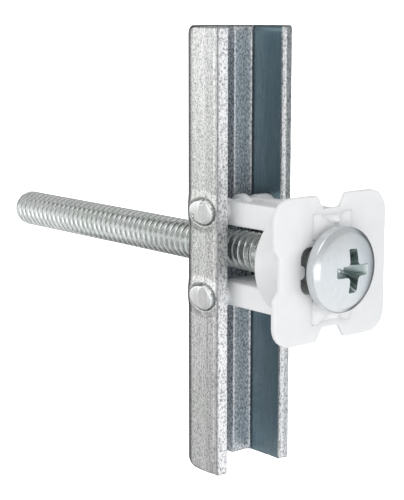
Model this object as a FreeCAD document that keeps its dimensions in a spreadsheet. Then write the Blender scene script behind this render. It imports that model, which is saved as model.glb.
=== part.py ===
"""Strap toggle anchor for hollow walls, millimetres.

A machine screw passes through a moulded collar cap, between two plastic strap legs, and into the
threaded hole of a folded steel toggle channel.  The legs pivot in dimples in the channel's flanges.

Frame: the origin is on the screw's axis, in the plane of the wall's face, where the cap's plate
seats.  +Y runs along the screw into the wall, +Z is up along the channel, and +X is to the right
when the screw's head is seen from the front.
"""
import FreeCAD, Part
import Sketcher
import os
import re

SIZES = [
    ("channel_length", 52.0, "Toggle channel, end to end"),
    ("channel_width", 11.3, "Toggle channel, over the two flanges"),
    ("channel_depth", 7.0, "Flange edge to the back of the web"),
    ("channel_standoff", 11.86, "Wall face to the flange edges"),
    ("sheet_thickness", 1.5, "Steel sheet"),
    ("outer_bend", 2.6, "Outside radius where flange meets web"),
    ("inner_bend", 1.2, "Inside radius where flange meets web"),
    ("groove_depth", 1.55, "Stiffening groove pressed into the web"),
    ("groove_mouth", 3.0, "Groove width at the web, inside"),
    ("groove_floor", 2.7, "Groove width at its floor, inside"),
    ("groove_bend", 0.35, "Inside radii of the groove"),
    ("rib_bend", 1.0, "Outside radii of the groove's back"),
    ("end_rounding", 0.35, "Rounding of the flange corners"),
    ("pivot_height", 4.97, "Pivot axes above and below the screw"),
    ("pivot_setback", 2.4, "Pivot axes behind the flange edges"),
    ("dimple_radius", 1.64, "Coined disc of a dimple"),
    ("dimple_rise", 0.5, "Coined disc above the flange"),
    ("swell_radius", 2.3, "Swelling round the disc"),
    ("swell_rise", 0.28, "Swelling above the flange at the disc"),
    ("socket_depth", 0.9, "Pivot socket in the flange's inner face"),
    ("thread_diameter", 4.66, "Screw thread, over the crests"),
    ("thread_clearance", 0.05, "Radial room round the thread in the channel"),
    ("screw_length", 62.1, "Under the head to the tip"),
    ("tip_chamfer", 1.0, "Chamfer at the screw's tip"),
    ("head_diameter", 9.48, "Screw head"),
    ("head_edge", 1.13, "Cylindrical edge of the head"),
    ("head_crown", 1.37, "Dome above the head's edge"),
    ("head_rounding", 0.2, "Rounding of the head's rims"),
    ("recess_span", 5.0, "Cross recess, across its arms"),
    ("recess_width", 1.25, "Cross recess, width of an arm"),
    ("recess_depth", 2.5, "Cross recess, from the crown"),
    ("recess_floor", 1.1, "Cross recess, arm span at its floor"),
    ("recess_point", 0.3, "Centre cone below the arms' floor"),
    ("head_gap", 0.79, "Cap's face to the underside of the head"),
    ("plate_width", 16.9, "Collar cap's plate, along X"),
    ("plate_height", 16.2, "Collar cap's plate, along Z"),
    ("plate_thickness", 0.7, "Collar cap's plate"),
    ("plate_corner", 2.4, "Corner radius of the plate"),
    ("plate_rounding", 0.2, "Rounding of the plate's front rim"),
    ("notch_wall", 0.42, "Plate left between a notch and the leg's slot"),
    ("notch_floor", 2.6, "Notch width at its floor"),
    ("notch_mouth", 4.4, "Notch width at the plate's edge"),
    ("relief_depth", 0.83, "Relief in the plate's left edge"),
    ("relief_floor", 3.5, "Relief length at its floor"),
    ("relief_mouth", 5.5, "Relief length at the plate's edge"),
    ("boss_diameter", 12.6, "Boss that fills the hole in the wall"),
    ("boss_length", 5.15, "Boss behind the plate"),
    ("opening_width", 9.4, "Opening for the screw, along X"),
    ("opening_height", 5.2, "Opening for the screw, along Z"),
    ("opening_corner", 1.2, "Corner radius of the opening"),
    ("nib_length", 0.7, "Locating nib in the opening"),
    ("nib_width", 1.5, "Locating nib, across"),
    ("nib_share", 0.9, "Rounding of the nib's end, as a share of its length"),
    ("strap_width", 5.8, "Strap leg, along X"),
    ("strap_thickness", 2.8, "Strap leg, along Z"),
    ("strap_gap", 6.6, "Room between the two legs"),
    ("nose_share", 0.45, "Rounding of a leg's end, as a share of its thickness"),
    ("strap_clearance", 0.08, "Room round a leg in the cap's slots"),
    ("stub_gap", 0.05, "Broken end of a leg to the head"),
    ("track_width", 3.4, "Track along the outer face of a leg"),
    ("track_depth", 0.25, "Depth of the track"),
    ("track_margin", 2.6, "Track's end to the pivot axis"),
    ("hub_radius", 1.6, "Hub at the end of a leg"),
    ("hub_width", 3.0, "Hub, along X"),
    ("knob_radius", 1.65, "Shoulders beside the flanges"),
    ("pin_radius", 1.3, "Pivot pins in the dimples"),
    ("pivot_clearance", 0.05, "Room round the pins and shoulders"),
]

doc = FreeCAD.newDocument("StrapToggleAnchor")


def make_sheet():
    """The driving dimensions, one row each: what it is, its value, its alias."""
    sheet = doc.addObject("Spreadsheet::Sheet", "Sizes")
    for row, (alias, value, words) in enumerate(SIZES, start=1):
        sheet.set(f"A{row}", words)
        sheet.set(f"B{row}", str(value))
        sheet.setAlias(f"B{row}", alias)
    doc.recompute()
    return sheet


sizes = make_sheet()


def linked(text):
    """An expression on the sheet: each alias in the text becomes a reference to its cell."""
    return re.sub(r"[a-z]+_[a-z]+", lambda found: f"Sizes.{found.group(0)}", text)


def value(text):
    """What an expression on the sheet comes to, as a number."""
    return float(sizes.evalExpression(text))


# Places along the screw, as expressions on the sheet.
PLATE_FRONT = "-plate_thickness"
HEAD_BACK = "(-plate_thickness - head_gap)"
HEAD_RIM = "(-plate_thickness - head_gap - head_edge)"
HEAD_TOP = "(-plate_thickness - head_gap - head_edge - head_crown)"
SCREW_TIP = "(screw_length - plate_thickness - head_gap)"
STUB_END = "(stub_gap - plate_thickness - head_gap)"
FLANGE_EDGE = "channel_standoff"
WEB_BACK = "(channel_standoff + channel_depth)"
WEB_FRONT = "(channel_standoff + channel_depth - sheet_thickness)"
PIVOT_PLACE = "(channel_standoff + pivot_setback)"
FLANGE_INSIDE = "(channel_width / 2 - sheet_thickness)"
STRAP_OUTSIDE = "(strap_gap / 2 + strap_thickness)"


def make_body(name):
    """An empty body whose label names its piece."""
    body = doc.addObject("PartDesign::Body", name)
    body.Label = name
    return body


def make_sketch(body, name, plane, offset=("0", "0", "0")):
    """A sketch on one of the body's own origin planes, moved within it by an offset."""
    sketch = body.newObject("Sketcher::SketchObject", name)
    support = [item for item in body.Origin.OriginFeatures if item.Role == plane][0]
    sketch.AttachmentSupport = [(support, "")]
    sketch.MapMode = "FlatFace"
    for axis, text in zip("xyz", offset):
        if text != "0":
            sketch.setExpression(f"AttachmentOffset.Base.{axis}", linked(text))
    return sketch


def fix_point(sketch, shape, end, across, up):
    """Holds a point of the sketch at two expressions, measured from the sketch's origin."""
    for kind, text in (("DistanceX", across), ("DistanceY", up)):
        number = sketch.addConstraint(Sketcher.Constraint(kind, -1, 1, shape, end, value(text)))
        sketch.setExpression(f"Constraints[{number}]", linked(text))


def add_outline(sketch, corners):
    """A closed outline of straight lines through corners given as pairs of expressions."""
    places = [FreeCAD.Vector(value(across), value(up), 0) for across, up in corners]
    count = len(corners)
    first = sketch.GeometryCount
    for index in range(count):
        sketch.addGeometry(Part.LineSegment(places[index], places[(index + 1) % count]), False)
    for index in range(count):
        following = first + (index + 1) % count
        sketch.addConstraint(Sketcher.Constraint("Coincident", first + index, 2, following, 1))
        fix_point(sketch, first + index, 1, *corners[index])


def add_circle(sketch, across, up, radius):
    """A circle whose centre and radius follow the sheet."""
    centre = FreeCAD.Vector(value(across), value(up), 0)
    circle = Part.Circle(centre, FreeCAD.Vector(0, 0, 1), value(radius))
    shape = sketch.addGeometry(circle, False)
    fix_point(sketch, shape, 3, across, up)
    number = sketch.addConstraint(Sketcher.Constraint("Radius", shape, value(radius)))
    sketch.setExpression(f"Constraints[{number}]", linked(radius))


def rectangle(left, right, low, high):
    """The corners of a rectangle, as pairs of expressions."""
    return [(left, low), (right, low), (right, high), (left, high)]


def extrude(body, kind, name, sketch, length, symmetric=False, reverse=False):
    """A pad or a pocket of a sketch."""
    feature = body.newObject(f"PartDesign::{kind}", name)
    feature.Profile = sketch
    feature.SideType = "Symmetric" if symmetric else "One side"
    feature.Reversed = reverse
    feature.setExpression("Length", linked(length))
    doc.recompute()
    return feature


def turn(body, kind, name, sketch, axis):
    """A revolution or a groove of a sketch, all the way round one of its axes."""
    feature = body.newObject(f"PartDesign::{kind}", name)
    feature.Profile = sketch
    feature.ReferenceAxis = (sketch, [axis])
    feature.Angle = 360
    doc.recompute()
    return feature


def edges_at(feature, places):
    """The straight edges whose middle lies at one of the places, where None fits any value."""
    names = []
    for number, edge in enumerate(feature.Shape.Edges, start=1):
        middle = edge.valueAt((edge.FirstParameter + edge.LastParameter) / 2)
        for place in places:
            if all(wanted is None or abs(found - wanted) < 1e-4 for found, wanted in zip(middle, place)):
                names.append(f"Edge{number}")
                break
    return names


def round_edges(body, name, feature, places, radius):
    """A fillet along the edges at the places."""
    fillet = body.newObject("PartDesign::Fillet", name)
    fillet.Base = (feature, edges_at(feature, places))
    fillet.setExpression("Radius", linked(radius))
    doc.recompute()
    return fillet


def mirror_twice(body, name, features):
    """Copies of the features to the other flange and to the other side of the screw."""
    pattern = body.newObject("PartDesign::MultiTransform", name)
    pattern.Originals = features
    mirrors = []
    for role in ("YZ_Plane", "XY_Plane"):
        mirror = body.newObject("PartDesign::Mirrored", f"{name}{role[:2]}")
        plane = [item for item in body.Origin.OriginFeatures if item.Role == role][0]
        mirror.MirrorPlane = (plane, [""])
        mirrors.append(mirror)
    pattern.Transformations = mirrors
    body.Tip = pattern
    doc.recompute()
    return pattern


def make_channel():
    """The folded steel channel: two flanges, a web with a pressed groove, and four dimples."""
    body = make_body("toggle_channel")
    half = "channel_width / 2"
    rib = "(groove_mouth / 2 + sheet_thickness)"
    rib_back = "(groove_floor / 2 + sheet_thickness)"
    back = f"({WEB_BACK} + groove_depth)"
    floor = f"({WEB_FRONT} + groove_depth)"
    right_side = [
        (f"{half}", FLANGE_EDGE), (f"{half}", WEB_BACK), (rib, WEB_BACK), (rib_back, back),
    ]
    right_inside = [
        ("groove_floor / 2", floor), ("groove_mouth / 2", WEB_FRONT),
        (FLANGE_INSIDE, WEB_FRONT), (FLANGE_INSIDE, FLANGE_EDGE),
    ]
    other_side = [(f"-({across})", up) for across, up in reversed(right_side)]
    other_inside = [(f"-({across})", up) for across, up in reversed(right_inside)]
    section = make_sketch(body, "ChannelSection", "XY_Plane")
    add_outline(section, right_side + other_side + other_inside + right_inside)
    folded = extrude(body, "Pad", "ChannelSheet", section, "channel_length", symmetric=True)

    def both(across, up):
        return [(value(across), value(up), 0), (-value(across), value(up), 0)]

    folded = round_edges(body, "OuterBends", folded, both(half, WEB_BACK), "outer_bend")
    folded = round_edges(body, "InnerBends", folded, both(FLANGE_INSIDE, WEB_FRONT), "inner_bend")
    folded = round_edges(body, "RibBends", folded, both(rib_back, back), "rib_bend")
    inner_lines = both("groove_mouth / 2", WEB_FRONT) + both("groove_floor / 2", floor)
    folded = round_edges(body, "GrooveBends", folded, inner_lines + both(rib, WEB_BACK), "groove_bend")

    ends = [(None, value(FLANGE_EDGE), side * value("channel_length / 2")) for side in (-1, 1)]
    round_edges(body, "FlangeCorners", folded, ends, "end_rounding")

    pivot = ("0", PIVOT_PLACE, "pivot_height")
    raised = make_sketch(body, "DimpleProfile", "XY_Plane", pivot)
    root = f"({FLANGE_INSIDE} + socket_depth)"
    add_outline(raised, [
        (root, "0"), (f"{half} + dimple_rise", "0"), (f"{half} + dimple_rise", "dimple_radius"),
        (f"{half} + swell_rise", "dimple_radius"), (half, "swell_radius"), (root, "swell_radius"),
    ])
    disc = turn(body, "Revolution", "Dimple", raised, "H_Axis")
    hollow = make_sketch(body, "SocketProfile", "XY_Plane", pivot)
    socket = "pin_radius + pivot_clearance"
    add_outline(hollow, rectangle(f"{FLANGE_INSIDE} - sheet_thickness", root, "0", socket))
    cup = turn(body, "Groove", "PivotSocket", hollow, "H_Axis")
    mirror_twice(body, "Dimples", [disc, cup])

    hole = make_sketch(body, "ThreadedHole", "XZ_Plane")
    add_circle(hole, "0", "0", "thread_diameter / 2 + thread_clearance")
    through = f"{WEB_BACK} + channel_depth"
    extrude(body, "Pocket", "TappedHole", hole, through)
    return body


def make_leg(name, side):
    """One strap leg: a strap with a track along its outer face and a pivot at its end."""
    body = make_body(name)
    sign = "" if side > 0 else "-"
    outer, inner = f"{sign}{STRAP_OUTSIDE}", f"{sign}strap_gap / 2"
    strap = make_sketch(body, "StrapSide", "YZ_Plane")
    end = f"{PIVOT_PLACE} + strap_thickness / 2"
    add_outline(strap, rectangle(STUB_END, end, inner, outer))
    leg = extrude(body, "Pad", "Strap", strap, "strap_width", symmetric=True)
    corners = [(0, value(end), value(inner)), (0, value(end), value(outer))]
    leg = round_edges(body, "StrapEnd", leg, corners, "strap_thickness * nose_share")
    track = make_sketch(body, "TrackSide", "YZ_Plane")
    track_start = f"{STUB_END} - strap_thickness"
    track_floor = f"{outer} - ({sign}track_depth)"
    add_outline(track, rectangle(track_start, f"{PIVOT_PLACE} - track_margin", track_floor, outer))
    extrude(body, "Pocket", "Track", track, "track_width", symmetric=True)
    pivot = make_sketch(body, "PivotProfile", "XY_Plane", ("0", PIVOT_PLACE, f"{sign}pivot_height"))
    core = "pin_radius - pivot_clearance"
    pin_end = f"({FLANGE_INSIDE} + socket_depth - pivot_clearance)"
    shoulder = f"({FLANGE_INSIDE} - pivot_clearance)"
    right = [
        ("hub_width / 2", "hub_radius"), ("hub_width / 2", core),
        ("strap_width / 2", core), ("strap_width / 2", "knob_radius"),
        (shoulder, "knob_radius"), (shoulder, "pin_radius"), (pin_end, "pin_radius"), (pin_end, "0"),
    ]
    left = [(f"-({across})", up) for across, up in reversed(right)]
    add_outline(pivot, left + right)
    turn(body, "Revolution", "Pivot", pivot, "H_Axis")
    return body


def make_cap():
    """The moulded collar cap: notched plate, boss, screw opening and two strap slots."""
    body = make_body("collar_cap")
    wide, high = "plate_width / 2", "plate_height / 2"
    floor = f"({STRAP_OUTSIDE} + strap_clearance + notch_wall)"
    relief = "-(plate_width / 2 - relief_depth)"
    outline = make_sketch(body, "PlateOutline", "XZ_Plane")
    add_outline(outline, [
        (f"-{wide}", f"-{high}"),
        ("-notch_mouth / 2", f"-{high}"), ("-notch_floor / 2", f"-{floor}"),
        ("notch_floor / 2", f"-{floor}"), ("notch_mouth / 2", f"-{high}"),
        (wide, f"-{high}"), (wide, high),
        ("notch_mouth / 2", high), ("notch_floor / 2", floor),
        ("-notch_floor / 2", floor), ("-notch_mouth / 2", high),
        (f"-{wide}", high),
        (f"-{wide}", "relief_mouth / 2"), (relief, "relief_floor / 2"),
        (relief, "-relief_floor / 2"), (f"-{wide}", "-relief_mouth / 2"),
    ])
    plate = extrude(body, "Pad", "Plate", outline, "plate_thickness")
    half_wide, half_high = value(wide), value(high)
    corners = [(across, None, up) for across in (-half_wide, half_wide) for up in (-half_high, half_high)]
    plate = round_edges(body, "PlateCorners", plate, corners, "plate_corner")
    round_edges(body, "PlateRim", plate, [(None, value(PLATE_FRONT), None)], "plate_rounding")

    ring = make_sketch(body, "BossOutline", "XZ_Plane")
    add_circle(ring, "0", "0", "boss_diameter / 2")
    extrude(body, "Pad", "Boss", ring, "boss_length", reverse=True)

    opening = make_sketch(body, "OpeningOutline", "XZ_Plane")
    left, right = "-opening_width / 2", "opening_width / 2"
    low, top = "-opening_height / 2", "opening_height / 2"
    add_outline(opening, rectangle(left, right, low, top))
    depth = "(plate_thickness + boss_length) * 2"
    hollow = extrude(body, "Pocket", "Opening", opening, depth, symmetric=True)
    corners = [
        (across, None, up) for across in (value(left), value(right)) for up in (value(low), value(top))
    ]
    round_edges(body, "OpeningCorners", hollow, corners, "opening_corner")

    for name, sign in (("Upper", ""), ("Lower", "-")):
        slot = make_sketch(body, f"{name}SlotOutline", "XZ_Plane")
        reach = "(strap_width / 2 + strap_clearance)"
        near = f"{sign}(strap_gap / 2 - strap_clearance)"
        far = f"{sign}({STRAP_OUTSIDE} + strap_clearance)"
        add_outline(slot, rectangle(f"-{reach}", reach, near, far))
        extrude(body, "Pocket", f"{name}Slot", slot, depth, symmetric=True)
        gap = make_sketch(body, f"{name}GapOutline", "XZ_Plane")
        add_outline(gap, rectangle(f"-{reach}", reach, near, f"{sign}boss_diameter"))
        extrude(body, "Pocket", f"{name}Gap", gap, "boss_length * 2")

    nib = make_sketch(body, "NibOutline", "XZ_Plane")
    root = f"{left} - nib_length"
    add_outline(nib, rectangle(root, f"{left} + nib_length", "-nib_width / 2", "nib_width / 2"))
    nib = extrude(body, "Pad", "Nib", nib, "plate_thickness")
    nib_tip = value(f"{left} + nib_length")
    corners = [(nib_tip, None, value("-nib_width / 2")), (nib_tip, None, value("nib_width / 2"))]
    round_edges(body, "NibEnd", nib, corners, "nib_length * nib_share")
    return body


def make_screw():
    """The machine screw: a pan head with a cross recess on a long shank."""
    body = make_body("machine_screw")
    section = make_sketch(body, "ScrewSection", "XY_Plane")
    rim = (value("head_diameter / 2"), value(HEAD_RIM))
    crown = value("head_crown")
    dome = (rim[0] ** 2 + crown ** 2) / (2 * crown)
    centre = FreeCAD.Vector(0, value(HEAD_TOP) + dome, 0)
    circle = Part.Circle(centre, FreeCAD.Vector(0, 0, 1), dome)
    top = FreeCAD.Vector(0, value(HEAD_TOP), 0)
    start, end = circle.parameter(top), circle.parameter(FreeCAD.Vector(rim[0], rim[1], 0))
    sketch_arc = section.addGeometry(Part.ArcOfCircle(circle, start, end), False)
    section.addConstraint(Sketcher.Constraint("PointOnObject", sketch_arc, 3, -2))
    corners = [
        ("head_diameter / 2", HEAD_RIM), ("head_diameter / 2", HEAD_BACK),
        ("thread_diameter / 2", HEAD_BACK), ("thread_diameter / 2", f"{SCREW_TIP} - tip_chamfer"),
        ("thread_diameter / 2 - tip_chamfer", SCREW_TIP), ("0", SCREW_TIP), ("0", HEAD_TOP),
    ]
    places = [FreeCAD.Vector(value(across), value(up), 0) for across, up in corners]
    first = section.GeometryCount
    for near, far in zip(places, places[1:]):
        section.addGeometry(Part.LineSegment(near, far), False)
    last = section.GeometryCount - 1
    for index in range(first, last):
        section.addConstraint(Sketcher.Constraint("Coincident", index, 2, index + 1, 1))
    section.addConstraint(Sketcher.Constraint("Coincident", sketch_arc, 2, first, 1))
    section.addConstraint(Sketcher.Constraint("Coincident", last, 2, sketch_arc, 1))
    for index, corner in enumerate(corners[:-1]):
        fix_point(section, first + index, 1, *corner)
    fix_point(section, last, 2, *corners[-1])
    turned = turn(body, "Revolution", "TurnedScrew", section, "V_Axis")
    rims = [(None, value(place), None) for place in (HEAD_RIM, HEAD_BACK)]
    names = [
        name for name in edges_at(turned, rims)
        if abs(turned.Shape.getElement(name).Curve.Radius - value("head_diameter / 2")) < 1e-4
    ]
    rounded = body.newObject("PartDesign::Fillet", "HeadRims")
    rounded.Base = (turned, names)
    rounded.setExpression("Radius", linked("head_rounding"))
    doc.recompute()

    for name, plane in (("LevelArm", "XY_Plane"), ("UprightArm", "YZ_Plane")):
        arm = make_sketch(body, f"{name}Profile", plane)
        mouth, floor = "recess_span / 2", "recess_floor / 2"
        deep = f"({HEAD_TOP} + recess_depth)"
        corners = [(f"-{mouth}", HEAD_TOP), (mouth, HEAD_TOP), (floor, deep), (f"-{floor}", deep)]
        if plane == "YZ_Plane":
            corners = [(up, across) for across, up in corners]
        add_outline(arm, corners)
        extrude(body, "Pocket", name, arm, "recess_width", symmetric=True)
    centre = make_sketch(body, "RecessCentre", "XY_Plane")
    add_outline(centre, [
        ("0", HEAD_TOP), ("recess_width", HEAD_TOP),
        ("recess_floor / 2", f"({HEAD_TOP} + recess_depth)"),
        ("0", f"({HEAD_TOP} + recess_depth + recess_point)"),
    ])
    turn(body, "Groove", "RecessCone", centre, "V_Axis")
    return body


def check_document():
    """Stops with a message if any object failed."""
    for item in doc.Objects:
        if "Invalid" in item.State or "Error" in item.State:
            raise RuntimeError(f"{item.Name} failed: {item.State}")


def export_pieces(bodies):
    """Writes each piece to its own file, and stops if one isn't a valid single solid."""
    os.makedirs("parts", exist_ok=True)
    for body in bodies:
        shape = body.Shape
        if shape.isNull() or not shape.isValid() or len(shape.Solids) != 1:
            raise RuntimeError(f"{body.Label} is not one valid solid")
        box = shape.optimalBoundingBox(False)
        print(
            f"{body.Label}: {shape.Volume:.2f} cubic mm, X {box.XMin:.2f} to {box.XMax:.2f}, "
            f"Y {box.YMin:.2f} to {box.YMax:.2f}, Z {box.ZMin:.2f} to {box.ZMax:.2f}"
        )
        shape.exportStep(os.path.join("parts", f"{body.Label}.step"))


pieces = [
    make_channel(),
    make_leg("upper_strap_leg", 1),
    make_leg("lower_strap_leg", -1),
    make_cap(),
    make_screw(),
]
doc.recompute()
check_document()
export_pieces(pieces)
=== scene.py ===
"""Looks of the strap toggle anchor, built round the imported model.

Places are in metres, in the row frame: the origin on the screw's axis in the wall's face, +Y along
the screw into the wall, +Z up along the channel.  Sizes below are named in millimetres.
"""
import math

import bmesh
import bpy
from mathutils import Matrix, Vector, noise


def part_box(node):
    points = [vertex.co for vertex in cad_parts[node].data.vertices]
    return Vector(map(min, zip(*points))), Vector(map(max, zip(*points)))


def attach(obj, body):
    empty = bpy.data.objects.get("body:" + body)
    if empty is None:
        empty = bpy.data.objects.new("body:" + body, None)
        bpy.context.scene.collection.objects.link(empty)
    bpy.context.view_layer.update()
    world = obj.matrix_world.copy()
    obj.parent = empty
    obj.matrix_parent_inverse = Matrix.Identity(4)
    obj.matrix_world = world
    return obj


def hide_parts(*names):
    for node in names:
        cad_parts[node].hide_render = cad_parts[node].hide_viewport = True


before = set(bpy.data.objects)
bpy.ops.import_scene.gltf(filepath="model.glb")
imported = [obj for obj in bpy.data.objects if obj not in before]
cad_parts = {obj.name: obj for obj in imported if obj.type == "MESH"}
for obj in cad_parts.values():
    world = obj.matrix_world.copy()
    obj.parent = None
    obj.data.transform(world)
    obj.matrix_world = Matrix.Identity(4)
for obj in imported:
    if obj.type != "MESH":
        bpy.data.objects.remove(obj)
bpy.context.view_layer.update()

MM = 0.001

# Camera, from the photograph's perspective.
CAMERA_PLACE = (-107.09, -107.21, 28.14)
CAMERA_YAW = 39.761
CAMERA_PITCH = 9.887
CAMERA_LENS = 100.73

# Toggle channel.  The inner bend reaches along the web, then along the flank.  A dimple's disc
# reaches towards the flange's edge, away from it, and up or down.  A wrinkle is its place along and
# up from the dimple's centre, its size and its depth.
SHEET = 1.5
CHANNEL_HALF = 5.65
CHANNEL_DEPTH = 7.0
OUTER_BEND = 2.6
INNER_BEND = (0.9, 0.22)
GROOVE_DEPTH = 1.55
GROOVE_MOUTH = 1.5
GROOVE_FLOOR = 1.35
PIVOT_HEIGHT = 4.97
PIVOT_SETBACK = 2.4
DISC_REACH = (1.8, 2.7, 1.5)
DISC_STAND = 0.5
WRINKLES = ((0.05, 1.22, 0.24, 0.16), (1.75, -0.75, 0.24, 0.2))
SOCKET_RADIUS = 1.3
SOCKET_DEPTH = 0.88
ROLLOVER = 0.74

# Screw.  The head is a dome as far as its shoulder, then a rounded side down to its underside.
PITCH = 1.0583
SCREW_LENGTH = 62.1
CREST = 2.33
ROOT = 1.74
NECK = ROOT + 0.25
HEAD_RADIUS = 4.74
HEAD_EDGE = 1.13
HEAD_CROWN = 1.31
HEAD_ROUND = 0.16
SHOULDER_RADIUS = 4.13
SHOULDER_RISE = 1.59
TIP_CHAMFER = 1.5
TIP_NARROWING = 1.1
RECESS_DEPTH = 2.5
RECESS_OFFSET = 0.25

# Collar cap.  The notches and the relief are half their width at the mouth, then at the floor.
PLATE_THICKNESS = 0.7
PLATE_CORNER = 2.4
NOTCH_LEVEL = 6.6
NOTCH_HALF = (2.2, 1.3)
RELIEF_HALF = (2.75, 1.75)
RELIEF_DEPTH = 0.83
BOSS_RADIUS = 6.3
BOSS_ROUND = 0.35
OPENING = (4.7, 2.6)
OPENING_CORNER = 1.2
NIB_LEVELS = (-0.82, 0.68)
NIB_REACH = 0.7
SLOT_CLEARANCE = 0.006

# Strap legs.
STRAP_WIDTH = 5.8
STRAP_THICKNESS = 2.8
STRAP_INSIDE = 3.3
TRACK_WIDTH = 3.4
TRACK_DEPTH = 0.25
HUB_RADIUS = 1.62
KNOB_RADIUS = 1.36
KNOB_TIP = 1.25


def vector_mm(x, y, z):
    """A point given in millimetres, in metres."""
    return Vector((x * MM, y * MM, z * MM))


def box_mm(node):
    """The corners of a CAD node in millimetres."""
    low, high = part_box(node)
    return low / MM, high / MM


channel_low, channel_high = box_mm("toggle_channel")
cap_high = box_mm("collar_cap")[1]
screw_high = box_mm("machine_screw")[1]
leg_low = box_mm("upper_strap_leg")[0]

FLANGE_EDGE = channel_low.y
WEB_BACK = FLANGE_EDGE + CHANNEL_DEPTH
WEB_FRONT = WEB_BACK - SHEET
PIVOT_PLACE = FLANGE_EDGE + PIVOT_SETBACK
HEAD_BACK = screw_high.y - SCREW_LENGTH
STUB_END = leg_low.y


def mesh_object(name, points, faces):
    """A mesh object from points in millimetres."""
    mesh = bpy.data.meshes.new(name)
    mesh.from_pydata([(x * MM, y * MM, z * MM) for x, y, z in points], [], faces)
    mesh.validate()
    piece = bpy.data.objects.new(name, mesh)
    bpy.context.scene.collection.objects.link(piece)
    return piece


def strip_faces(rows, width, closed=True):
    """The faces between successive rows of points; a closed row runs back to its first point."""
    faces = []
    for row in range(rows - 1):
        first, second = row * width, (row + 1) * width
        for index in range(width if closed else width - 1):
            following = (index + 1) % width
            faces.append((first + index, first + following, second + following, second + index))
    return faces


def clean(piece, merge=0.002):
    """Merges doubled points, drops degenerate faces and turns the normals outward."""
    work = bmesh.new()
    work.from_mesh(piece.data)
    bmesh.ops.remove_doubles(work, verts=work.verts, dist=merge * MM)
    bmesh.ops.dissolve_degenerate(work, edges=work.edges, dist=merge * MM * 0.2)
    bmesh.ops.recalc_face_normals(work, faces=work.faces)
    work.to_mesh(piece.data)
    work.free()
    piece.data.update()


def apply_modifiers(piece):
    """Replaces the mesh by its evaluated self, and clears the modifiers."""
    bpy.context.view_layer.update()
    evaluated = piece.evaluated_get(bpy.context.evaluated_depsgraph_get())
    mesh = bpy.data.meshes.new_from_object(evaluated)
    piece.modifiers.clear()
    piece.data = mesh


def combine(piece, tool, operation):
    """A boolean of the piece with a tool, which is then deleted."""
    step = piece.modifiers.new("combine", "BOOLEAN")
    step.operation = operation
    step.solver = "EXACT"
    step.object = tool
    apply_modifiers(piece)
    bpy.data.objects.remove(tool)


def soften(piece, width, segments=3, angle=35):
    """Rounds the piece's sharp edges."""
    step = piece.modifiers.new("soften", "BEVEL")
    step.width = width * MM
    step.segments = segments
    step.limit_method = "ANGLE"
    step.angle_limit = math.radians(angle)
    step.miter_outer = "MITER_ARC"
    apply_modifiers(piece)


def smooth(piece, angle=35):
    """Shades the piece smooth, apart from edges sharper than the angle."""
    mesh = piece.data
    mesh.polygons.foreach_set("use_smooth", [True] * len(mesh.polygons))
    work = bmesh.new()
    work.from_mesh(mesh)
    limit = math.radians(angle)
    for edge in work.edges:
        edge.smooth = len(edge.link_faces) == 2 and edge.calc_face_angle(0) < limit
    work.to_mesh(mesh)
    work.free()


def rounded_outline(corners, steps=6):
    """A closed outline with each corner (x, y, radius) turned into an arc."""
    outline = []
    count = len(corners)
    for index, (x, y, radius) in enumerate(corners):
        here = Vector((x, y))
        before = Vector(corners[index - 1][:2]) - here
        after = Vector(corners[(index + 1) % count][:2]) - here
        if radius <= 0:
            outline.append((x, y))
            continue
        half = before.angle(after) / 2
        reach = radius / math.tan(half)
        inward = (before.normalized() + after.normalized()).normalized()
        centre = here + inward * (radius / math.sin(half))
        start = here + before.normalized() * reach - centre
        sweep = (here + after.normalized() * reach - centre).angle_signed(start)
        for step in range(steps + 1):
            turned = Matrix.Rotation(sweep * step / steps, 2) @ start
            outline.append((centre.x + turned.x, centre.y + turned.y))
    return outline


def prism(name, outline, near, far, axes="XZY"):
    """A solid between two parallel outlines; axes name where the outline's pair and depth go."""
    order = ["XYZ".index(axis) for axis in axes]
    points = []
    for depth in (near, far):
        for first, second in outline:
            point = [0.0, 0.0, 0.0]
            point[order[0]], point[order[1]], point[order[2]] = first, second, depth
            points.append(point)
    count = len(outline)
    faces = [tuple(range(count)), tuple(range(2 * count - 1, count - 1, -1))]
    for index in range(count):
        following = (index + 1) % count
        faces.append((index, following, count + following, count + index))
    piece = mesh_object(name, points, faces)
    clean(piece)
    return piece


def lathe(name, profile, segments=64, axis="Y", centre=(0, 0, 0)):
    """A solid of revolution from (radius, place) pairs along an axis."""
    points = []
    for radius, place in profile:
        for step in range(segments):
            angle = 2 * math.pi * step / segments
            across, up = radius * math.cos(angle), radius * math.sin(angle)
            point = {"Y": (across, place, up), "X": (place, across, up)}[axis]
            points.append([value + shift for value, shift in zip(point, centre)])
    rings = len(profile)
    faces = strip_faces(rings, segments)
    faces.append(tuple(range(segments)))
    faces.append(tuple(range((rings - 1) * segments, rings * segments))[::-1])
    piece = mesh_object(name, points, faces)
    clean(piece)
    return piece


def arc(centre, radius, start, end, steps):
    """Points (a, b) on an arc, angles in degrees."""
    angles = [math.radians(start + (end - start) * step / steps) for step in range(steps + 1)]
    return [(centre[0] + radius * math.cos(a), centre[1] + radius * math.sin(a)) for a in angles]


def shade(piece, rule):
    """Stores how much painted shade darkens the finish at each point, which the materials read."""
    values = [rule(vertex.co / MM) for vertex in piece.data.vertices]
    piece.data.attributes.new("shade", "FLOAT", "POINT").data.foreach_set("value", values)


def spread(low, high, step):
    """Evenly spaced values from low to high."""
    count = max(1, round(abs(high - low) / step))
    return [low + (high - low) * index / count for index in range(count + 1)]


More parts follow.
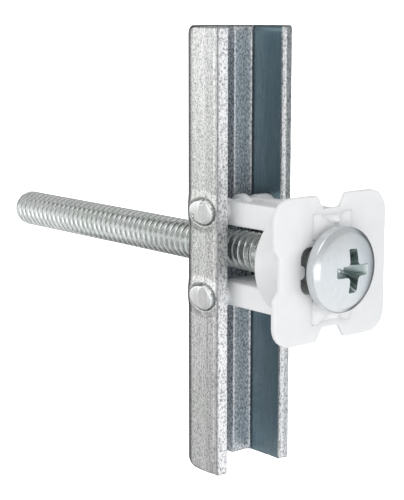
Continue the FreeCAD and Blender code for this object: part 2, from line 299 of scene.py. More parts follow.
def channel_section():
    """The right half of the channel's section, outside then inside, as (x, y, kind)."""
    half, inside = CHANNEL_HALF, CHANNEL_HALF - SHEET
    rib, rib_floor = GROOVE_MOUTH + SHEET, GROOVE_FLOOR + SHEET
    rib_back, floor = WEB_BACK + GROOVE_DEPTH, WEB_FRONT + GROOVE_DEPTH
    inner_round, outer_round = 0.14, 0.1
    outside = [(x, y, "edge") for x, y in arc(
        (half - outer_round, FLANGE_EDGE + outer_round), outer_round, -90, -22.5, 3)]
    flat = spread(FLANGE_EDGE + 0.43, WEB_BACK - OUTER_BEND, 0.085)
    outside += [(half, y, "outer") for y in flat]
    outside += [(x, y, "outer") for x, y in arc(
        (half - OUTER_BEND, WEB_BACK - OUTER_BEND), OUTER_BEND, 2.5, 90, 30)]
    rib_outline = rounded_outline([
        (half - OUTER_BEND - 0.02, WEB_BACK, 0), (rib, WEB_BACK, 0.35),
        (rib_floor, rib_back, 1.0), (0.0, rib_back, 0)])
    outside += [(x, y, "outer") for x, y in rib_outline[1:-1]]
    outside.append((0.0, rib_back, "outer"))
    groove = rounded_outline([
        (0.0, floor, 0), (GROOVE_FLOOR, floor, 0.35), (GROOVE_MOUTH, WEB_FRONT, 0.3),
        (inside - INNER_BEND[0], WEB_FRONT, 0)])
    inner = [(x, y, "inner") for x, y in groove]
    inner += [(inside - INNER_BEND[0] * (1 - x), WEB_FRONT - INNER_BEND[1] * (1 - y), "inner")
              for x, y in arc((0, 0), 1.0, 78, 0, 7)]
    flank = spread(WEB_FRONT - INNER_BEND[1] - 0.05, FLANGE_EDGE + 0.3, 0.12)
    inner += [(inside, y, "flank") for y in flank]
    inner += [(x, y, "edge") for x, y in arc(
        (inside + inner_round, FLANGE_EDGE + inner_round), inner_round, 180, 270, 4)]
    for x in spread(inside + inner_round, half - outer_round, 0.14)[1:-1]:
        inner.append((x, FLANGE_EDGE, "edge"))
    return outside, inner


def dimple_share(along, up):
    """A place's distance from a dimple's centre, as a share of the dimple's own reach."""
    towards_edge, away_from_edge, high = DISC_REACH
    return math.hypot(along / (away_from_edge if along > 0 else towards_edge), up / high)


def band(value, low, high, fade=0.1):
    """One inside a range, falling to nought over a short way beyond either end."""
    return max(0.0, min(1.0, (value - low) / fade + 1, (high - value) / fade + 1))


def channel_shade(place):
    """How dark the channel's finish is painted, from 0 to 1: painted shade in the creases, on the
    corners, bends and cut ends.

    The upper half takes more painted shade than the lower one, as the photo shows it.
    """
    inside = CHANNEL_HALF - SHEET
    from_edge = place.y - FLANGE_EDGE
    out = abs(place.x)
    upper_half_shade = 1.0 if place.z > 0 else 0.45
    dark = 0.0
    # Painted shade: a dark ring in the crease round each dimple, darkest on its lower front side, then
    # dark lines and bands on the flange's outer face and its bend.
    if out > CHANNEL_HALF - 1.2:
        along, up = place.y - PIVOT_PLACE, abs(place.z) - PIVOT_HEIGHT
        up = up if place.z > 0 else -up
        away = dimple_share(along, up)
        facing = 0.5 - 0.5 * math.cos(math.atan2(up, along) - math.radians(55))
        dark = (0.4 + 0.6 * facing) * math.exp(-((away - 1.01) / 0.085) ** 2)
        if out > CHANNEL_HALF - 0.2:
            dark = max(dark, 0.7 * band(from_edge, 0.1, 0.3, 0.06))
            if away > 1.1:
                dark = max(dark, 0.1 * upper_half_shade * band(from_edge, 0.5, 2.0, 0.4))
                dark = max(dark, 0.3 * upper_half_shade * band(from_edge, 5.0, 7.5, 0.5))
    # Painted shade on the right flange's sheared edge, darker on its outer part.
    if from_edge < 0.12 and place.x > 0:
        dark = max(dark, 0.78 * upper_half_shade * band(out, CHANNEL_HALF - 0.85, CHANNEL_HALF, 0.15))
        dark = max(dark, 0.3 * band(out, 0, inside + 0.25))
    # Painted shade in the inside corner where the flank meets the web.
    if inside - 0.02 < out < inside + 0.1 and place.y > WEB_FRONT - 0.75:
        dark = max(dark, 0.7 * band(place.y, WEB_FRONT - 0.5, WEB_FRONT + 1, 0.2))
    # Painted shade along the cut ends, stronger at the upper end.
    cut = 0.75 if place.z > 0 else 0.35
    return max(dark, cut * band(abs(place.z), channel_high.z - 0.2, channel_high.z + 1, 0.12))


def flank_wave(y):
    """How far the flange stands out: its rollover, a faint ridge, then a hollow up to the bend."""
    from_edge = y - FLANGE_EDGE
    step, ridge, bend = 0.12, 1.95, 4.45
    if from_edge < ROLLOVER:
        return -0.08 + 0.03 * (from_edge / ROLLOVER) ** 2
    if from_edge < ROLLOVER + step:
        return -0.05 + 0.05 * (from_edge - ROLLOVER) / step
    if from_edge < ridge:
        share = (from_edge - ROLLOVER - step) / (ridge - ROLLOVER - step)
        return 0.07 * share * share * (3 - 2 * share)
    if from_edge < bend:
        share = (from_edge - ridge) / (bend - ridge)
        return 0.07 - 0.21 * share * share * (2 - share)
    return -0.14 * max(0.0, 1 - (from_edge - bend) / 2.0)


def dimple(along, up, wrinkled):
    """How far the flange's outer face stands out near a dimple, at an offset from its centre."""
    away = dimple_share(along, up)
    swell_share = math.hypot(along / (5.2 if along > 0 else 3.0), up / 2.5)
    swell = 0.3 * max(0.0, 1 - swell_share ** 2) ** 1.5
    if away < 1:
        rim = max(0.0, (away - 0.84) / 0.16)
        stand = DISC_STAND - (0.1 if along > 0 else 0.08) * away ** 2 - 0.3 * rim ** 2.2
    else:
        crease = max(0.0, 1 - (away - 1.0) / 0.16)
        stand = swell - (swell - 0.02) * crease ** 1.2
    if wrinkled:
        for wrinkle_along, wrinkle_up, size, depth in WRINKLES:
            gap = math.hypot(along - wrinkle_along, (up - wrinkle_up) * 0.8) / size
            stand -= depth * math.exp(-gap * gap)
    return stand


def socket(distance):
    """How far the flange's inner face is hollowed for a pivot pin."""
    if distance < SOCKET_RADIUS:
        return SOCKET_DEPTH
    return SOCKET_DEPTH * max(0.0, 1 - (distance - SOCKET_RADIUS) / 0.12)


def end_rounding(from_end, reach, depth):
    """How far a face is drawn in near the channel's cut end: a quarter ellipse."""
    if from_end >= reach:
        return 0.0
    share = 1 - from_end / reach
    return depth * (1 - math.sqrt(max(0.0, 1 - share * share)))


def end_strip(ring, outer_count):
    """Triangles that close the sheet's cut end, between the ring's outer and inner runs."""
    def shares(run):
        lengths = [0.0]
        for before, after in zip(run, run[1:]):
            lengths.append(lengths[-1] + math.dist(ring[before][:2], ring[after][:2]))
        return [length / lengths[-1] for length in lengths]

    outer = list(range(outer_count))
    inner = list(range(len(ring) - 1, outer_count - 1, -1))
    outer_shares, inner_shares = shares(outer), shares(inner)
    strip = []
    first = second = 0
    while first < len(outer) - 1 or second < len(inner) - 1:
        outer_next = outer_shares[first + 1] if first < len(outer) - 1 else 2.0
        inner_next = inner_shares[second + 1] if second < len(inner) - 1 else 2.0
        if outer_next <= inner_next:
            strip.append((outer[first], outer[first + 1], inner[second]))
            first += 1
        else:
            strip.append((outer[first], inner[second + 1], inner[second]))
            second += 1
    return strip


def make_channel():
    """The folded channel, with its dimples, sockets, rough sheared edges, painted shade and a hole for
    the screw.
    """
    outside, inner = channel_section()
    left = [(-x, y, kind) for x, y, kind in reversed(outside[:-1])]
    left_inner = [(-x, y, kind) for x, y, kind in reversed(inner[1:])]
    ring = outside + left + left_inner + inner
    count = len(ring)
    outward = []
    for index in range(count):
        before, after = ring[index - 1], ring[(index + 1) % count]
        along = Vector((after[0] - before[0], after[1] - before[1])).normalized()
        outward.append((along.y, -along.x))
    half_length = channel_high.z
    fine = spread(PIVOT_HEIGHT - 2.9, PIVOT_HEIGHT + 2.9, 0.09)
    upper = [0.0, 1.0] + fine + spread(8.6, half_length - 1.5, 0.7)
    upper += [half_length - gap for gap in (1.2, 0.9, 0.7, 0.5, 0.36, 0.24, 0.15, 0.08, 0.03, 0.0)]
    levels = [-z for z in reversed(upper[1:])] + upper

    def place(index, z):
        """The ring's point at a height, with everything that draws the sheet in or out."""
        x, y, kind = ring[index]
        across, ahead = outward[index]
        from_end = half_length - abs(z)
        shift = 0.0
        if kind == "outer" and abs(x) > CHANNEL_HALF - OUTER_BEND:
            wrinkled = x < 0 and z > 0
            shift += dimple(y - PIVOT_PLACE, abs(z) - PIVOT_HEIGHT, wrinkled)
            wave = flank_wave(y)
            shift += max(0.0, wave) if shift > 0.3 else wave
            shift = min(shift, DISC_STAND - 0.001)
        elif kind == "flank":
            distance = math.hypot(y - PIVOT_PLACE, abs(z) - PIVOT_HEIGHT)
            shift -= socket(distance)
        if kind == "outer":
            bent = min(1.0, max(0.0, (y - WEB_BACK + OUTER_BEND) / 1.2))
            shift -= end_rounding(from_end, 0.3 + 0.7 * bent, 0.16 + 0.36 * bent)
        elif kind in ("inner", "flank"):
            shift -= end_rounding(from_end, 1.2, 0.2)
        else:
            shift -= end_rounding(from_end, 0.4, 0.2)
            outer_part = max(0.0, abs(x) - (CHANNEL_HALF - SHEET) - 0.55)
            y += 0.08 * outer_part
            rough = noise.noise(Vector((x * 1.3, y, z * 2.1))) * 0.04
            rough += noise.noise(Vector((x * 4, y + 9, z * 6.5))) * 0.025
            shift -= max(0.0, rough)
        ragged = noise.noise(Vector((x * 0.9, y * 0.9, math.copysign(7, z)))) * 0.1
        z -= math.copysign(max(0.0, ragged) * max(0.0, 1 - from_end), z)
        return x + across * shift, y + ahead * shift, z

    points = [place(index, z) for z in levels for index in range(count)]
    faces = strip_faces(len(levels), count)
    kinds = []
    for z in levels[:-1]:
        for index, (x, y, kind) in enumerate(ring):
            if ring[(index + 1) % count][2] == "edge":
                kind = "edge"
            on_disc = dimple_share(y - PIVOT_PLACE, abs(z) - PIVOT_HEIGHT) < 0.97
            if kind == "outer" and abs(x) > CHANNEL_HALF - 1.2 and on_disc:
                kind = "disc"
            kinds.append(kind)
    outer_count = len(outside) + len(left)
    for start in (0, (len(levels) - 1) * count):
        strip = end_strip(ring, outer_count)
        faces += [tuple(start + index for index in face) for face in strip]
        kinds += ["edge"] * len(strip)
    channel = mesh_object("channel", points, faces)
    kind_numbers = {"outer": 0, "inner": 1, "edge": 2, "flank": 3, "disc": 4}
    for name in kind_numbers:
        channel.data.materials.append(looks[name])
    channel.data.polygons.foreach_set("material_index", [kind_numbers[kind] for kind in kinds])
    clean(channel, merge=0.001)
    hole = lathe("hole_tool", [(CREST + 0.05, WEB_FRONT - 2), (CREST + 0.05, WEB_BACK + 4)], 48)
    combine(channel, hole, "DIFFERENCE")
    shade(channel, channel_shade)
    smooth(channel, 30)
    return channel


def thread_radius(turns):
    """The thread's radius at a number of turns past a crest."""
    away = abs((turns + 0.5) % 1.0 - 0.5)
    slope = min(1.0, max(0.0, (away - 0.15) / 0.27))
    return CREST - (CREST - ROOT) * slope


def make_screw():
    """The machine screw: rolled thread, pan head and cross recess."""
    head_rim = HEAD_BACK - HEAD_EDGE
    head_top = head_rim - HEAD_CROWN
    tip = screw_high.y
    thread_start = HEAD_BACK + 0.5
    segments, samples = 48, (0.0, 0.11, 0.17, 0.28, 0.39, 0.44, 0.56, 0.61, 0.72, 0.83, 0.89)
    turns = int((tip - thread_start) / PITCH) + 2
    rows = [turn + share for turn in range(-1, turns) for share in samples]
    points = []
    for row in rows:
        for step in range(segments + 1):
            around = step / segments
            place = thread_start + (row + around) * PITCH
            radius = thread_radius(row)
            fade = min(1.0, max(0.0, (place - thread_start) / (0.8 * PITCH)))
            radius = NECK + (radius - NECK) * fade if fade < 1 else radius
            place = min(max(place, thread_start), tip)
            rounding = max(0.0, 1 - (tip - place) / TIP_CHAMFER)
            narrowing = TIP_NARROWING * (1 - math.sqrt(max(0.0, 1 - rounding * rounding)))
            radius = min(radius, CREST - narrowing)
            angle = 2 * math.pi * around
            points.append((radius * math.sin(angle), place, radius * math.cos(angle)))
    faces = strip_faces(len(rows), segments + 1, closed=False)
    shank = mesh_object("shank", points, faces)
    clean(shank, merge=0.004)
    work = bmesh.new()
    work.from_mesh(shank.data)
    bmesh.ops.holes_fill(work, edges=[edge for edge in work.edges if edge.is_boundary])
    bmesh.ops.recalc_face_normals(work, faces=work.faces)
    work.to_mesh(shank.data)
    work.free()

    shoulder_place = HEAD_BACK - SHOULDER_RISE
    drop = shoulder_place - head_top
    dome = (SHOULDER_RADIUS ** 2 + drop ** 2) / (2 * drop)
    profile = [(0.001, head_top)]
    for step in range(1, 15):
        radius = SHOULDER_RADIUS * step / 14
        profile.append((radius, head_top + dome - math.sqrt(dome ** 2 - radius ** 2)))
    for radius, behind in ((4.16, 0.02), (4.19, 0.04), (4.4, 0.19), (4.63, 0.355)):
        profile.append((radius, shoulder_place + behind))
    profile += [(4.67, head_rim - 0.07), (4.72, head_rim - 0.01)]
    profile += [(HEAD_RADIUS, head_rim + behind) for behind in (0.05, 0.1, 0.5)]
    profile += arc((HEAD_RADIUS - HEAD_ROUND, HEAD_BACK - HEAD_ROUND), HEAD_ROUND, 0, 90, 4)
    profile += [(NECK, HEAD_BACK), (NECK, thread_start + 0.4), (0.001, thread_start + 0.4)]
    head = lathe("screw", profile, 96)
    for piece, name in ((head, "head"), (shank, "screw")):
        piece.data.materials.append(looks["head"])
        piece.data.materials.append(looks["screw"])
        piece.data.polygons.foreach_set("material_index", [name == "screw"] * len(piece.data.polygons))
    combine(head, recess_tool(head_top), "DIFFERENCE")
    combine(head, shank, "UNION")

    # Painted shade: the recess's inside is darkened in colour, where shade falls in it.
    def recess_shade(place):
        """How far a place is inside the recess, as a share of a short way below the dome."""
        if place.y > HEAD_BACK or math.hypot(place.x, place.z) > 2.9:
            return 0.0
        surface = head_top + dome - math.sqrt(dome ** 2 - place.x ** 2 - place.z ** 2)
        return min(1.0, max(0.0, (place.y - surface) / 0.12))

    shade(head, recess_shade)
    smooth(head, 28)
    return head


def recess_outline(arm, wide, fillet):
    """A cross with rounded inner corners, counter-clockwise; wide is half an arm's width."""
    quarter = [(arm, -wide + 0.14), (arm, wide - 0.14), (arm - 0.12, wide)]
    quarter += arc((wide + fillet, wide + fillet), fillet, 270, 180, 6)
    quarter.append((wide, arm - 0.12))
    outline = []
    for turn in range(4):
        turned = Matrix.Rotation(math.pi / 2 * turn, 2)
        outline += [turned @ Vector(point) for point in quarter]
    return outline


def recess_tool(head_top):
    """The cross recess: four tapering wings with rounded inner corners, and a conical floor.

    A level is its depth below the dome's top, then the outline's arm, half width and fillet.
    """
    levels = [(-0.6, 2.66, 0.68, 0.5), (0.15, 2.5, 0.62, 0.45), (0.9, 2.1, 0.52, 0.36),
              (1.7, 1.45, 0.42, 0.25), (RECESS_DEPTH, 0.85, 0.34, 0.14)]
    points = []
    for depth, arm, wide, fillet in levels:
        outline = recess_outline(arm, wide, fillet)
        points += [(point.x + RECESS_OFFSET, head_top + depth, point.y) for point in outline]
    count = len(outline)
    faces = strip_faces(len(levels), count)
    faces.append(tuple(range(count)))
    points.append((RECESS_OFFSET, head_top + RECESS_DEPTH + 0.35, 0))
    last = (len(levels) - 1) * count
    for index in range(count):
        faces.append((last + index, last + (index + 1) % count, len(points) - 1))
    tool = mesh_object("recess_tool", points, faces)
    clean(tool)
    return tool


def plate_outline():
    """The notched square of the cap's plate, with the relief in its left edge."""
    wide, high = cap_high.x, cap_high.z
    mouth, floor = NOTCH_HALF
    relief_mouth, relief_floor = RELIEF_HALF
    relief = wide - RELIEF_DEPTH
    return rounded_outline([
        (-wide, -high, PLATE_CORNER),
        (-mouth, -high, 0.35), (-floor, -NOTCH_LEVEL, 0.3),
        (floor, -NOTCH_LEVEL, 0.3), (mouth, -high, 0.35),
        (wide, -high, PLATE_CORNER), (wide, high, PLATE_CORNER),
        (mouth, high, 0.35), (floor, NOTCH_LEVEL, 0.3),
        (-floor, NOTCH_LEVEL, 0.3), (-mouth, high, 0.35),
        (-wide, high, PLATE_CORNER),
        (-wide, relief_mouth, 0.6), (-relief, relief_floor, 0.6),
        (-relief, -relief_floor, 0.6), (-wide, -relief_mouth, 0.6)])


def bar(half, near, far, side):
    """A rectangle above (side 1) or below (side -1) the screw, counter-clockwise, as (x, z)."""
    near, far = side * near, side * far
    return [(-half, near), (half, near), (half, far), (-half, far)][::side]


def make_cap():
    """The collar cap: plate, boss, screw opening with its nib, and two slots that hold the straps.

    The boss is open beyond each slot, and a lug in each slot fills the strap's track.
    """
    cap = prism("cap", plate_outline(), -PLATE_THICKNESS, 0.0)
    soften(cap, 0.2, segments=4, angle=50)
    rim = cap_high.y - BOSS_ROUND
    boss_profile = [(0.001, -0.4), (BOSS_RADIUS, -0.4), (BOSS_RADIUS, rim)]
    boss_profile += arc((BOSS_RADIUS - BOSS_ROUND, rim), BOSS_ROUND, 15, 90, 4)
    boss_profile.append((0.001, cap_high.y))
    combine(cap, lathe("boss_tool", boss_profile, 96), "UNION")
    across, up = OPENING
    corner = OPENING_CORNER
    opening = rounded_outline([
        (-across, -up, corner), (across, -up, corner),
        (across, up, corner), (-across, up, corner)], steps=8)
    combine(cap, prism("opening_tool", opening, -3.0, cap_high.y + 1), "DIFFERENCE")
    nib_low, nib_high = NIB_LEVELS
    nib_end, nib_root = -(across - NIB_REACH), -across - 0.6
    nib = rounded_outline([
        (nib_root, nib_low, 0), (nib_end, nib_low, 0.62),
        (nib_end, nib_high, 0.62), (nib_root, nib_high, 0)])
    combine(cap, prism("nib_tool", nib, -PLATE_THICKNESS + 0.04, 0.0), "UNION")
    soften(cap, 0.07, segments=2, angle=40)
    reach = STRAP_WIDTH / 2 + SLOT_CLEARANCE
    near = STRAP_INSIDE - SLOT_CLEARANCE
    far = STRAP_INSIDE + STRAP_THICKNESS + SLOT_CLEARANCE
    lug_half = TRACK_WIDTH / 2 - SLOT_CLEARANCE
    for side in (-1, 1):
        combine(cap, prism("slot_tool", bar(reach, near, far, side), -3.0, cap_high.y + 1), "DIFFERENCE")
        combine(cap, prism("gap_tool", bar(reach, near, 9, side), 0.0, cap_high.y + 1), "DIFFERENCE")
        lug = bar(lug_half, far - TRACK_DEPTH, far + 0.2, side)
        combine(cap, prism("lug_tool", lug, -PLATE_THICKNESS, -0.05), "UNION")
    smooth(cap, 40)
    return cap


def strap_ring():
    """The section of the upper strap, counter-clockwise, as (x, z) with a track in its outer face."""
    half, low, high = STRAP_WIDTH / 2, STRAP_INSIDE, STRAP_INSIDE + STRAP_THICKNESS
    track, floor = TRACK_WIDTH / 2, high - TRACK_DEPTH
    return rounded_outline([
        (-half, low, 0.25), (half, low, 0.25), (half, high, 0.22),
        (track, high, 0.08), (track, floor, 0.08), (-track, floor, 0.08), (-track, high, 0.08),
        (-half, high, 0.22)], steps=3)


def resampled(outline, step):
    """The same closed outline with points no further apart than a step."""
    finer = []
    for index, start in enumerate(outline):
        end = outline[(index + 1) % len(outline)]
        parts = max(1, math.ceil(math.dist(start, end) / step))
        finer += [tuple(a + (b - a) * part / parts for a, b in zip(start, end))
                  for part in range(parts)]
    return finer


def make_leg(name, side):
    """One strap leg, with its torn end in front of the cap and its pivot at the channel."""
    ring = resampled(strap_ring(), 0.3)
    count = len(ring)
    middle_z = STRAP_INSIDE + STRAP_THICKNESS / 2

    def torn(x, z):
        """The torn end's place: all but flush with the plate, with faint mounds and one ragged tongue."""
        inward = (1 - (2 * x / STRAP_WIDTH) ** 4) * (1 - (2 * (z - middle_z) / STRAP_THICKNESS) ** 4)
        ragged = noise.noise(Vector((x * 0.9 + 5 * side, z * 0.9, 3.0))) * 0.12
        ragged += noise.noise(Vector((x * 2.6, z * 2.6, 8.0 + side))) * 0.05
        tongue = 0.7 * math.exp(-((x - 0.4) / 0.4) ** 2 - ((z - middle_z - 0.5) / 0.3) ** 2)
        return -PLATE_THICKNESS - 0.008 - (max(0.0, 0.04 + ragged) + tongue) * inward

    shrinks = (0.0, 0.12, 0.24, 0.36, 0.48, 0.6, 0.7, 0.8, 0.88, 0.95, 1.0)
    stations = [STUB_END + 1.0, STUB_END + 1.7, STUB_END + 3.0]
    stations += spread(STUB_END + 5.0, PIVOT_PLACE, 2.0)
    points = []
    for shrink in shrinks:
        for x, z in ring:
            across = x * shrink
            up = middle_z + (z - middle_z) * shrink
            points.append((across, max(STUB_END, torn(across, up)), up))
    for station in stations:
        points += [(x, station, z) for x, z in ring]
    rows = len(shrinks) + len(stations)
    faces = strip_faces(rows, count)
    faces.append(tuple((rows - 1) * count + index for index in range(count)))
    leg = mesh_object(name, points, faces)
    clean(leg, merge=0.003)
    nose, half, inside = STRAP_THICKNESS / 2, STRAP_WIDTH / 2, CHANNEL_HALF - SHEET
    nose_profile = [(nose - 0.2, -half), (nose, -half + 0.2), (nose, half - 0.2), (nose - 0.2, half)]
    combine(leg, lathe("nose_tool", nose_profile, 40, "X", (0, PIVOT_PLACE, middle_z)), "UNION")
    pivot = (0, PIVOT_PLACE, PIVOT_HEIGHT)
    hub_profile = [(HUB_RADIUS - 0.27, -0.6), (HUB_RADIUS, -0.4),
                   (HUB_RADIUS, 0.4), (HUB_RADIUS - 0.27, 0.6)]
    combine(leg, lathe("hub_tool", hub_profile, 48, "X", pivot), "UNION")
    knob_profile = [(1.2, half - 0.8), (KNOB_RADIUS, half - 0.8), (KNOB_RADIUS, inside - 0.15),
                    (1.3, inside - 0.05), (KNOB_TIP, inside - 0.05), (KNOB_TIP, inside + 0.8)]
    for hand in (-1, 1):
        profile = [(radius, hand * across) for radius, across in knob_profile]
        combine(leg, lathe("knob_tool", profile, 40, "X", pivot), "UNION")
    if side < 0:
        for vertex in leg.data.vertices:
            vertex.co.z = -vertex.co.z
        clean(leg)
    smooth(leg, 38)
    return leg


def new_material(name):
    """An empty node material and its shader."""
    material = bpy.data.materials.new(name)
    material.use_nodes = True
    nodes, links = material.node_tree.nodes, material.node_tree.links
    return material, nodes, links, nodes["Principled BSDF"]


def add_noise(nodes, links, stretch, detail=4.0, roughness=0.55):
    """Noise in the object's own coordinates, with a number of features per millimetre each way."""
    place = nodes.new("ShaderNodeTexCoord")
    mapping = nodes.new("ShaderNodeMapping")
    mapping.inputs["Scale"].default_value = [share / MM for share in stretch]
    links.new(place.outputs["Object"], mapping.inputs["Vector"])
    texture = nodes.new("ShaderNodeTexNoise")
    texture.inputs["Scale"].default_value = 1.0
    texture.inputs["Detail"].default_value = detail
    texture.inputs["Roughness"].default_value = roughness
    links.new(mapping.outputs["Vector"], texture.inputs["Vector"])
    return texture


def add_ramp(nodes, links, source, stops):
    """A colour ramp over a source value; stops are (place, colour) pairs."""
    ramp = nodes.new("ShaderNodeValToRGB")
    while len(ramp.color_ramp.elements) < len(stops):
        ramp.color_ramp.elements.new(0.5)
    for element, (place, colour) in zip(ramp.color_ramp.elements, stops):
        element.position = place
        element.color = (*colour, 1.0)
    links.new(source, ramp.inputs["Fac"])
    return ramp


def add_bump(nodes, links, shader, height, depth, strength=1.0, under=None):
    """Surface relief of a depth in millimetres."""
    bump = nodes.new("ShaderNodeBump")
    bump.inputs["Strength"].default_value = strength
    bump.inputs["Distance"].default_value = depth * MM
    links.new(height, bump.inputs["Height"])
    if under:
        links.new(under.outputs["Normal"], bump.inputs["Normal"])
    links.new(bump.outputs["Normal"], shader.inputs["Normal"])
    return bump


def add_mix(nodes, links, factor, first, second, blend="MIX"):
    """A colour mix of two sources."""
    mix = nodes.new("ShaderNodeMix")
    mix.data_type = "RGBA"
    mix.blend_type = blend
    if isinstance(factor, float):
        mix.inputs["Factor"].default_value = factor
    else:
        links.new(factor, mix.inputs["Factor"])
    links.new(first, mix.inputs["A"])
    links.new(second, mix.inputs["B"])
    return mix.outputs["Result"]


def zinc_material(name, dark, light, tint, roughness, speckle, grain=(3.2, 3.2, 3.2), edge=(0.36, 0.6),
                  relief=0.02, painted_shade_colour=(0.16, 0.18, 0.18), metallic=1.0):
    """Zinc-plated steel: streaks along the sheet, crystalline mottle, a faint film and painted shade.

    The mottle takes the share speckle, its grain is in features per millimetre, and it turns from
    dark to light between the two edge values.  The painted shade colour darkens what the shade value
    marks.
    """
    material, nodes, links, shader = new_material(name)
    shader.inputs["Metallic"].default_value = metallic
    streaks = add_noise(nodes, links, (5.0, 5.0, 0.35), 5.0)
    mottle = add_noise(nodes, links, grain, 6.0, 0.7)
    film = add_noise(nodes, links, (0.16, 0.16, 0.07), 2.0)
    streak_colour = add_ramp(nodes, links, streaks.outputs["Fac"], [(0.3, dark), (0.7, light)])
    mottle_colour = add_ramp(nodes, links, mottle.outputs["Fac"], [(edge[0], dark), (edge[1], light)])
    colour = add_mix(
        nodes, links, speckle, streak_colour.outputs["Color"], mottle_colour.outputs["Color"])
    film_colour = add_ramp(nodes, links, film.outputs["Fac"], [(0.4, (1, 1, 1)), (0.68, tint)])
    colour = add_mix(nodes, links, 1.0, colour, film_colour.outputs["Color"], "MULTIPLY")
    # Painted shade: the shade value multiplies the colour darker where shade falls.
    painted_shade_node = nodes.new("ShaderNodeAttribute")
    painted_shade_node.attribute_name = "shade"
    painted_shade_ramp = add_ramp(nodes, links, painted_shade_node.outputs["Fac"], [(0.0, (1, 1, 1)), (1.0, painted_shade_colour)])
    colour = add_mix(nodes, links, 1.0, colour, painted_shade_ramp.outputs["Color"], "MULTIPLY")
    links.new(colour, shader.inputs["Base Color"])
    low, high = roughness
    rough = add_ramp(nodes, links, mottle.outputs["Fac"], [(0.3, (low,) * 3), (0.72, (high,) * 3)])
    links.new(rough.outputs["Color"], shader.inputs["Roughness"])
    fine = add_bump(nodes, links, shader, mottle.outputs["Fac"], relief, 0.7)
    add_bump(nodes, links, shader, streaks.outputs["Fac"], relief * 0.6, 0.6, fine)
    return material


def plastic_material(name, colour, glow):
    """Natural translucent plastic, milky inside with a soft satin skin."""
    material, nodes, links, shader = new_material(name)
    cloud = add_noise(nodes, links, (0.35, 0.35, 0.35), 3.0)
    skin = add_noise(nodes, links, (2.2, 2.2, 2.2), 4.0)
    deep = tuple(value * 0.955 for value in colour)
    shade = add_ramp(nodes, links, cloud.outputs["Fac"], [(0.35, deep), (0.65, colour)])
    links.new(shade.outputs["Color"], shader.inputs["Base Color"])
    shader.inputs["Subsurface Weight"].default_value = glow
    shader.inputs["Subsurface Radius"].default_value = (1.0, 1.05, 1.1)
    shader.inputs["Subsurface Scale"].default_value = 1.2 * MM
    rough = add_ramp(nodes, links, skin.outputs["Fac"], [(0.3, (0.3,) * 3), (0.7, (0.42,) * 3)])
    links.new(rough.outputs["Color"], shader.inputs["Roughness"])
    add_bump(nodes, links, shader, skin.outputs["Fac"], 0.015, 0.35)
    return material


def make_materials():
    """One material for each kind of surface."""
    return {
        "outer": zinc_material(
            "zinc_outer", (0.34, 0.35, 0.35), (1.0, 1.0, 1.0), (0.92, 0.94, 0.9), (0.1, 0.22), 0.7,
            grain=(4.2, 4.2, 3.2), edge=(0.38, 0.55), relief=0.035),
        "disc": zinc_material(
            "zinc_disc", (0.78, 0.79, 0.79), (0.97, 0.98, 0.97), (0.95, 0.96, 0.95), (0.14, 0.24), 0.3,
            grain=(1.5, 1.5, 1.5), relief=0.006),
        # The channel's inside faces are darker, bluer copies of the outer zinc: painted shade inside the
        # channel.
        "inner": zinc_material(
            "zinc_inner", (0.15, 0.15, 0.16), (0.76, 0.78, 0.81), (0.88, 0.93, 0.96), (0.2, 0.36), 0.75,
            grain=(4.2, 4.2, 2.8), edge=(0.38, 0.57), relief=0.035, metallic=0.6),
        # The flank's dark teal is painted shade on the inside face of the flange.
        "flank": zinc_material(
            "zinc_flank", (0.15, 0.22, 0.25), (0.25, 0.33, 0.37), (0.88, 0.97, 1.0), (0.16, 0.28), 0.3,
            relief=0.006, metallic=0.7),
        "edge": zinc_material(
            "zinc_edge", (0.28, 0.28, 0.3), (1.0, 1.0, 1.0), (0.97, 0.97, 0.96), (0.35, 0.55), 0.9,
            grain=(4.4, 4.4, 3.4), edge=(0.38, 0.54), relief=0.02),
        "screw": zinc_material(
            "zinc_screw", (0.5, 0.52, 0.51), (0.78, 0.8, 0.79), (0.95, 0.97, 0.95), (0.08, 0.16), 0.3,
            relief=0.005, metallic=0.82),
        # The head's painted shade colour darkens the cross recess: painted shade.
        "head": zinc_material(
            "zinc_head", (0.67, 0.69, 0.7), (0.71, 0.735, 0.75), (0.98, 0.99, 0.99), (0.16, 0.22), 0.7,
            grain=(1.2, 1.2, 1.2), relief=0.003, painted_shade_colour=(0.56, 0.63, 0.6), metallic=0.94),
        "plastic": plastic_material("natural_plastic", (0.86, 0.865, 0.87), 0.3),
        "leg": plastic_material("strap_plastic", (0.95, 0.955, 0.96), 0.3),
    }


def area_light(name, place, target, size, power):
    """A soft light aimed at a point, both in millimetres."""
    data = bpy.data.lights.new(name, "AREA")
    data.shape = "RECTANGLE"
    data.size, data.size_y = size[0] * MM, size[1] * MM
    data.energy = power
    light = bpy.data.objects.new(name, data)
    light.location = vector_mm(*place)
    light.rotation_euler = (vector_mm(*target) - light.location).to_track_quat("-Z", "Y").to_euler()
    bpy.context.scene.collection.objects.link(light)


def toward(nodes, links, place, direction, stops):
    """A grey that follows the angle from a direction; stops are (cosine, grey or colour) pairs."""
    along = nodes.new("ShaderNodeVectorMath")
    along.operation = "DOT_PRODUCT"
    along.inputs[1].default_value = Vector(direction).normalized()
    links.new(place, along.inputs[0])
    spread_out = nodes.new("ShaderNodeMapRange")
    spread_out.inputs["From Min"].default_value = -1.0
    links.new(along.outputs["Value"], spread_out.inputs["Value"])
    colours = [((cosine + 1) / 2, colour if isinstance(colour, tuple) else (colour,) * 3)
               for cosine, colour in stops]
    return add_ramp(nodes, links, spread_out.outputs["Result"], colours).outputs["Color"]


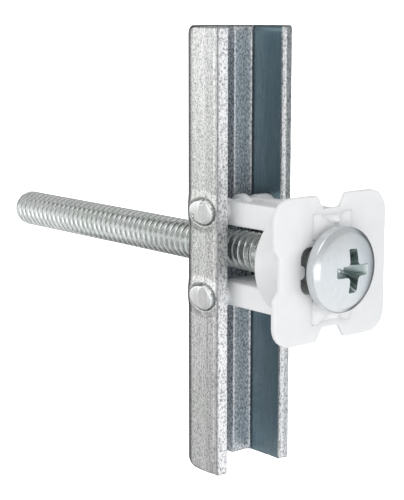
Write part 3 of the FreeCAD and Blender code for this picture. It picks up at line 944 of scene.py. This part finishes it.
def make_world():
    """Soft studio surroundings, given by direction only.

    Behind the object, bands of grey by height are multiplied by a dark far right and a left side of
    its own.  In front, grey goes by height alone.  A dimmer right and one bright panel lie over both.
    """
    world = bpy.data.worlds.new("studio")
    bpy.context.scene.world = world
    world.use_nodes = True
    nodes, links = world.node_tree.nodes, world.node_tree.links
    place = nodes.new("ShaderNodeTexCoord").outputs["Generated"]
    height = toward(nodes, links, place, (0, 0, 1), [
        (-1.0, 0.6), (-0.34, 0.5), (-0.22, 0.6), (-0.12, 0.78), (-0.04, 1.1), (0.12, 1.1), (0.26, 0.5),
        (0.44, 0.5), (0.58, 1.0), (0.8, 0.82), (1.0, 0.82)])
    behind = toward(nodes, links, place, (0.64, 0.77, 0.0), [
        (0.38, 1.0), (0.5, 0.5), (0.62, 0.16), (1.0, 0.1)])
    left = toward(nodes, links, place, (-1.0, 0.0, 0.0), [
        (0.44, 1.4), (0.54, 1.35), (0.63, 0.8), (0.72, 0.84), (0.86, 1.3), (1.0, 1.4)])
    back = add_mix(nodes, links, 1.0, height, behind, "MULTIPLY")
    back = add_mix(nodes, links, 1.0, back, left, "MULTIPLY")
    front = toward(nodes, links, place, (0, 0, 1), [
        (-1.0, 1.15), (-0.3, (1.08, 1.1, 1.12)), (0.0, (1.04, 1.07, 1.09)),
        (0.35, 0.84), (0.6, 0.62), (1.0, 0.6)])
    ahead = toward(nodes, links, place, (0, -1, 0), [(-0.05, 0.0), (0.22, 1.0)])
    colour = add_mix(nodes, links, ahead, back, front)
    right = toward(nodes, links, place, (1.0, 0.0, 0.06), [
        (0.72, 1.0), (0.88, (0.84, 0.86, 0.88)), (0.955, (0.68, 0.7, 0.72)), (1.0, (0.58, 0.6, 0.62))])
    colour = add_mix(nodes, links, 1.0, colour, right, "MULTIPLY")
    panel = toward(nodes, links, place, (-0.45, -0.88, -0.1), [(0.972, 0.0), (0.982, 0.95)])
    colour = add_mix(nodes, links, 1.0, colour, panel, "ADD")
    links.new(colour, nodes["Background"].inputs["Color"])
    nodes["Background"].inputs["Strength"].default_value = 1.0


def make_stage():
    """A pale floor that rises into a backdrop all round, the light and the camera."""
    reach, level, rise, top = 2200, -300, 1400, 4200
    profile = [(0.001, level), (reach, level)]
    profile += [(reach + across, level + rise + up) for across, up in arc((0, 0), rise, -80, 0, 8)]
    profile.append((reach + rise, top))
    points, segments = [], 64
    for radius, height in profile:
        for step in range(segments):
            angle = 2 * math.pi * step / segments
            points.append((radius * math.cos(angle), radius * math.sin(angle), height))
    floor = mesh_object("floor", points, strip_faces(len(profile), segments))
    material, *_, shader = new_material("floor")
    shader.inputs["Base Color"].default_value = (0.9, 0.9, 0.9, 1)
    shader.inputs["Roughness"].default_value = 0.9
    shader.inputs["Emission Color"].default_value = (1, 1, 1, 1)
    shader.inputs["Emission Strength"].default_value = 1.0
    floor.data.materials.append(material)
    floor.visible_glossy = False
    floor.visible_diffuse = False
    floor.visible_transmission = False
    floor.visible_shadow = False

    bpy.context.scene.view_settings.view_transform = "Standard"
    area_light("top", (-260, -200, 420), (0, 0, 0), (300, 300), 0.35)

    lens = bpy.data.cameras.new("camera")
    lens.lens = CAMERA_LENS
    lens.sensor_width = 36.0
    lens.sensor_fit = "AUTO"
    lens.clip_start, lens.clip_end = 0.01, 50.0
    camera = bpy.data.objects.new("camera", lens)
    camera.location = vector_mm(*CAMERA_PLACE)
    camera.rotation_euler = (math.radians(90 - CAMERA_PITCH), 0, math.radians(-CAMERA_YAW))
    bpy.context.scene.collection.objects.link(camera)
    bpy.context.scene.camera = camera


def dress(piece, node, body, materials):
    """Gives a piece its materials, unless it has its own, and its body, and hides the node that it stands
    for.
    """
    if materials:
        piece.data.materials.clear()
        for material in materials:
            piece.data.materials.append(material)
    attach(piece, body)
    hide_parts(node)


make_world()
make_stage()
looks = make_materials()
dress(make_channel(), "toggle_channel", "toggle", [])
dress(make_screw(), "machine_screw", "screw", [])
dress(make_cap(), "collar_cap", "cap", [looks["plastic"]])
dress(make_leg("upper_leg", 1), "upper_strap_leg", "toggle", [looks["leg"]])
dress(make_leg("lower_leg", -1), "lower_strap_leg", "toggle", [looks["leg"]])
